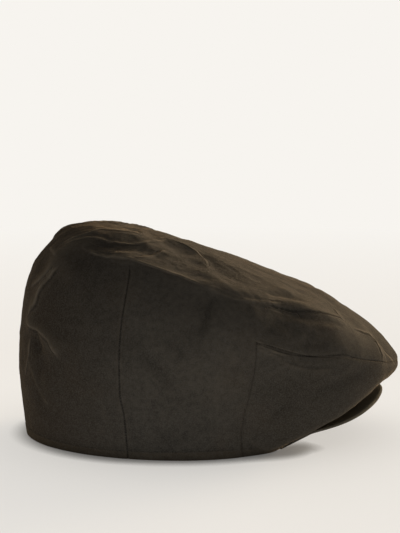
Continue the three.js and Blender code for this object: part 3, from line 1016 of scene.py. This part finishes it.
def creased(s, place, colour):
    """The colour with its pale creases and the painted shade of their grooves, and the height of both for
    the relief.
    """
    jitter = s.maths("MULTIPLY_ADD", s.noise(place, "jitter"), *CREASE_JITTER)
    across = s.maths("ADD", s.attribute("crease_across"), jitter)
    show = s.attribute("crease_show")
    dark = s.attribute("crease_shade")
    line = s.product(s.soft_line(across, CREASE_LINE["width"]), show)
    halo = s.product(s.soft_line(across, CREASE_HALO["width"]), show)
    beside = s.maths("MULTIPLY_ADD", s.maths("SIGN", dark), -CREASE_GROOVE_SHADE["offset"], across)
    groove = s.product(s.soft_line(beside, CREASE_LINE["width"]), s.maths("ABSOLUTE", dark))
    broken = s.spread(s.noise(place, "breaks"), *CREASE_BREAKS)
    colour = s.mix(s.product(halo, CREASE_HALO["pale"]), colour, WAX_PALE)
    colour = s.mix(s.product(groove, CREASE_GROOVE_SHADE["dark"]), colour, STITCH_AND_SHADE_DARK)
    colour = s.mix(s.product(line, broken, CREASE_LINE["pale"]), colour, WAX_PALE)
    return colour, s.maths("SUBTRACT", line, groove)


def sewn(s, colour):
    """The colour with its sewn lines, and the height of their stitches for the relief."""
    across = s.attribute("seam_across")
    show = s.attribute("seam_show")
    from_side = s.maths("SUBTRACT", s.maths("ABSOLUTE", across), SEAM_SIDES["offset"])
    sides = s.product(s.soft_line(from_side, SEAM_SIDES["width"]), show)
    stitches = s.product(s.soft_line(across, SEAM_STITCHES["width"]), show)
    colour = s.mix(s.product(sides, SEAM_SIDES["pale"]), colour, WAX_PALE)
    colour = s.mix(s.product(stitches, SEAM_STITCHES["dark"]), colour, STITCH_AND_SHADE_DARK)
    return colour, s.product(stitches, -1.0)


def waxed_cotton():
    s = Shader(bpy.data.materials.new("waxed_cotton"))
    place = s.place()
    patch = s.noise(place, "patch")
    grain = s.noise(place, "grain")
    streak = s.noise(s.place(scale=STREAK_STRETCH), "streak")
    colour, tone = mottled_ground(s, place, patch)
    colour = tinted_by_place(s, place, tone, colour)
    colour = tinted_by_relief(s, patch, colour)
    colour, crease_height = creased(s, place, colour)
    colour, stitch_height = sewn(s, colour)
    colour = s.mix(s.spread(grain, *SPECKS), colour, CLOTH_SPECK)
    normal = s.bump(woven_height(s), "weave")
    normal = s.bump(grain, "grain", normal)
    normal = s.bump(streak, "streak", normal)
    normal = s.bump(patch, "patch", normal)
    normal = s.bump(crease_height, "crease", normal)
    normal = s.bump(stitch_height, "stitches", normal)
    return s.surface(
        colour, s.spread(patch, *ROUGHNESS), normal,
        Specular_IOR_Level=0.0, Sheen_Weight=0.12, Sheen_Roughness=0.22, Sheen_Tint=CLOTH_SHEEN,
    )


# The same waxed cotton as the crown, painted paler as painted light for the shade under the crown
def peak_cotton():
    s = Shader(bpy.data.materials.new("peak_cotton"))
    place = s.place()
    patch = s.noise(place, "peak patch")
    colour = s.mix(s.spread(patch, *PEAK_TONE), PEAK_DARK_PAINTED_LIGHT, PEAK_PALE_PAINTED_LIGHT)
    normal = s.bump(woven_height(s), "weave")
    normal = s.bump(s.noise(place, "peak grain"), "grain", normal)
    normal = s.bump(patch, "peak patch", normal)
    return s.surface(
        colour, s.spread(patch, *ROUGHNESS), normal,
        Specular_IOR_Level=0.0, Sheen_Weight=0.01, Sheen_Roughness=0.22, Sheen_Tint=PEAK_SHEEN,
    )


WAXED = waxed_cotton()
PEAK_FINISH = peak_cotton()
for piece, node, slot, material in [
    (crown, "crown", "waxed_cotton", WAXED),
    (panel_right, "front_panel_right", "waxed_cotton", WAXED),
    (panel_left, "front_panel_left", "waxed_cotton", WAXED),
    (peak, "peak", "peak_cotton", PEAK_FINISH),
]:
    piece.data.materials.append(material)
    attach(piece, "root")
    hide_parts(node)

# Camera at the photograph's angle
CAMERA_PLACE = (-6.02 * MM, -950.0 * MM, 240.5 * MM)
CAMERA_PITCH = 7.498
CAMERA_LENS = 93.29
CAMERA_SENSOR = 36.0
CAMERA_CLIP = (0.01, 200.0)
camera_data = bpy.data.cameras.new("camera")
camera_data.sensor_width = CAMERA_SENSOR
camera_data.sensor_fit = "AUTO"
camera_data.lens = CAMERA_LENS
camera_data.clip_start, camera_data.clip_end = CAMERA_CLIP
camera = bpy.data.objects.new("camera", camera_data)
camera.location = CAMERA_PLACE
camera.rotation_euler = (math.radians(90 - CAMERA_PITCH), 0, 0)
bpy.context.collection.objects.link(camera)
bpy.context.scene.camera = camera
bpy.context.scene.view_settings.view_transform = "Standard"

# Studio: an even backdrop, a pale floor, dim light from above and behind, and two low windows
# behind the cap. Each window has its direction and its strength.
BACKDROP = from_srgb(247, 244, 239)
ABOVE = (0.25, 0.9, 0.10, 0.22)
BEHIND = (-0.2, 0.7, 0.0, 0.10)
WINDOWS = [((0.70, 0.71, 0.03), 57.0), ((-0.62, 0.78, 0.06), 4.5)]
WINDOW_FADE = (0.92, 0.995)
WINDOW_COLOUR = from_srgb(255, 236, 208)
FLOOR_HALF = 20000.0
FLOOR_FADE = (0.35, 1.4)
FLOOR_PAPER = from_srgb(124, 122, 119)
FLOOR_GLOW = 0.55
FLOOR_LIGHT = 4.4
FLOOR_LIGHT_SPREAD = 150
FLOOR_LIGHT_TILT = -42

# Painted contact shadow: the floor is darker where the cap nearly touches it
CONTACT_REACH = 0.013
PAINTED_CONTACT_SHADOW = (0.45, 1.0, 0.24 * FLOOR_GLOW, FLOOR_GLOW)
CONTACT_SAMPLES = 8


def studio_world():
    world = bpy.data.worlds.new("studio")
    bpy.context.scene.world = world
    s = Shader(world)
    direction = s.node("ShaderNodeTexCoord").outputs["Generated"]
    _, back, up = s.split(direction)
    window = 0.0
    for side, strength in WINDOWS:
        lobe = s.node("ShaderNodeVectorMath", operation="DOT_PRODUCT")
        s.link(direction, lobe.inputs[0])
        lobe.inputs[1].default_value = Vector(side).normalized()
        window = s.maths("ADD", window, s.spread(lobe.outputs["Value"], *WINDOW_FADE, 0.0, strength))
    around_light = s.node("ShaderNodeBackground")
    s.link(BACKDROP, around_light.inputs["Color"])
    s.link(s.maths("ADD", s.spread(up, *ABOVE), s.spread(back, *BEHIND)), around_light.inputs["Strength"])
    window_light = s.node("ShaderNodeBackground")
    s.link(WINDOW_COLOUR, window_light.inputs["Color"])
    s.link(window, window_light.inputs["Strength"])
    lit = s.node("ShaderNodeAddShader")
    s.link(around_light.outputs[0], lit.inputs[0])
    s.link(window_light.outputs[0], lit.inputs[1])
    seen = s.node("ShaderNodeBackground")
    s.link(BACKDROP, seen.inputs["Color"])
    choose = s.node("ShaderNodeMixShader")
    s.link(s.node("ShaderNodeLightPath").outputs["Is Camera Ray"], choose.inputs[0])
    s.link(lit.outputs[0], choose.inputs[1])
    s.link(seen.outputs[0], choose.inputs[2])
    s.link(choose.outputs[0], s.node("ShaderNodeOutputWorld").inputs["Surface"])


def floor_paper():
    """Pale paper with a painted contact shadow near the cap, fading into the backdrop's own brightness far
    from it.
    """
    s = Shader(bpy.data.materials.new("floor_paper"))
    length = s.node("ShaderNodeVectorMath", operation="LENGTH")
    s.link(s.place(), length.inputs[0])
    paper = s.node("ShaderNodeBsdfDiffuse")
    s.link(FLOOR_PAPER, paper.inputs["Color"])
    touch = s.node("ShaderNodeAmbientOcclusion", samples=CONTACT_SAMPLES)
    touch.inputs["Distance"].default_value = CONTACT_REACH
    lit_through = s.node("ShaderNodeEmission")
    s.link(BACKDROP, lit_through.inputs["Color"])
    s.link(s.spread(touch.outputs["AO"], *PAINTED_CONTACT_SHADOW), lit_through.inputs["Strength"])
    near = s.node("ShaderNodeAddShader")
    s.link(paper.outputs[0], near.inputs[0])
    s.link(lit_through.outputs[0], near.inputs[1])
    far = s.node("ShaderNodeEmission")
    s.link(BACKDROP, far.inputs["Color"])
    choose = s.node("ShaderNodeMixShader")
    s.link(s.spread(length.outputs["Value"], *FLOOR_FADE), choose.inputs[0])
    s.link(near.outputs[0], choose.inputs[1])
    s.link(far.outputs[0], choose.inputs[2])
    s.link(choose.outputs[0], s.node("ShaderNodeOutputMaterial").inputs["Surface"])
    return s.owner


def studio_floor():
    bm = bmesh.new()
    bmesh.ops.create_grid(bm, x_segments=1, y_segments=1, size=FLOOR_HALF)
    floor = new_object("floor", bm)
    floor.data.materials.append(floor_paper())
    return floor


def floor_light(floor):
    """Broad light from overhead that brightens the floor alone, as bleached studio paper looks."""
    light = bpy.data.lights.new("floor_light", "SUN")
    light.energy = FLOOR_LIGHT
    light.angle = math.radians(FLOOR_LIGHT_SPREAD)
    lamp = bpy.data.objects.new("floor_light", light)
    lamp.rotation_euler = (math.radians(FLOOR_LIGHT_TILT), 0, 0)
    bpy.context.collection.objects.link(lamp)
    lit = bpy.data.collections.new("floor_light_reaches")
    lit.objects.link(floor)
    lamp.light_linking.receiver_collection = lit


studio_world()
floor_light(studio_floor())
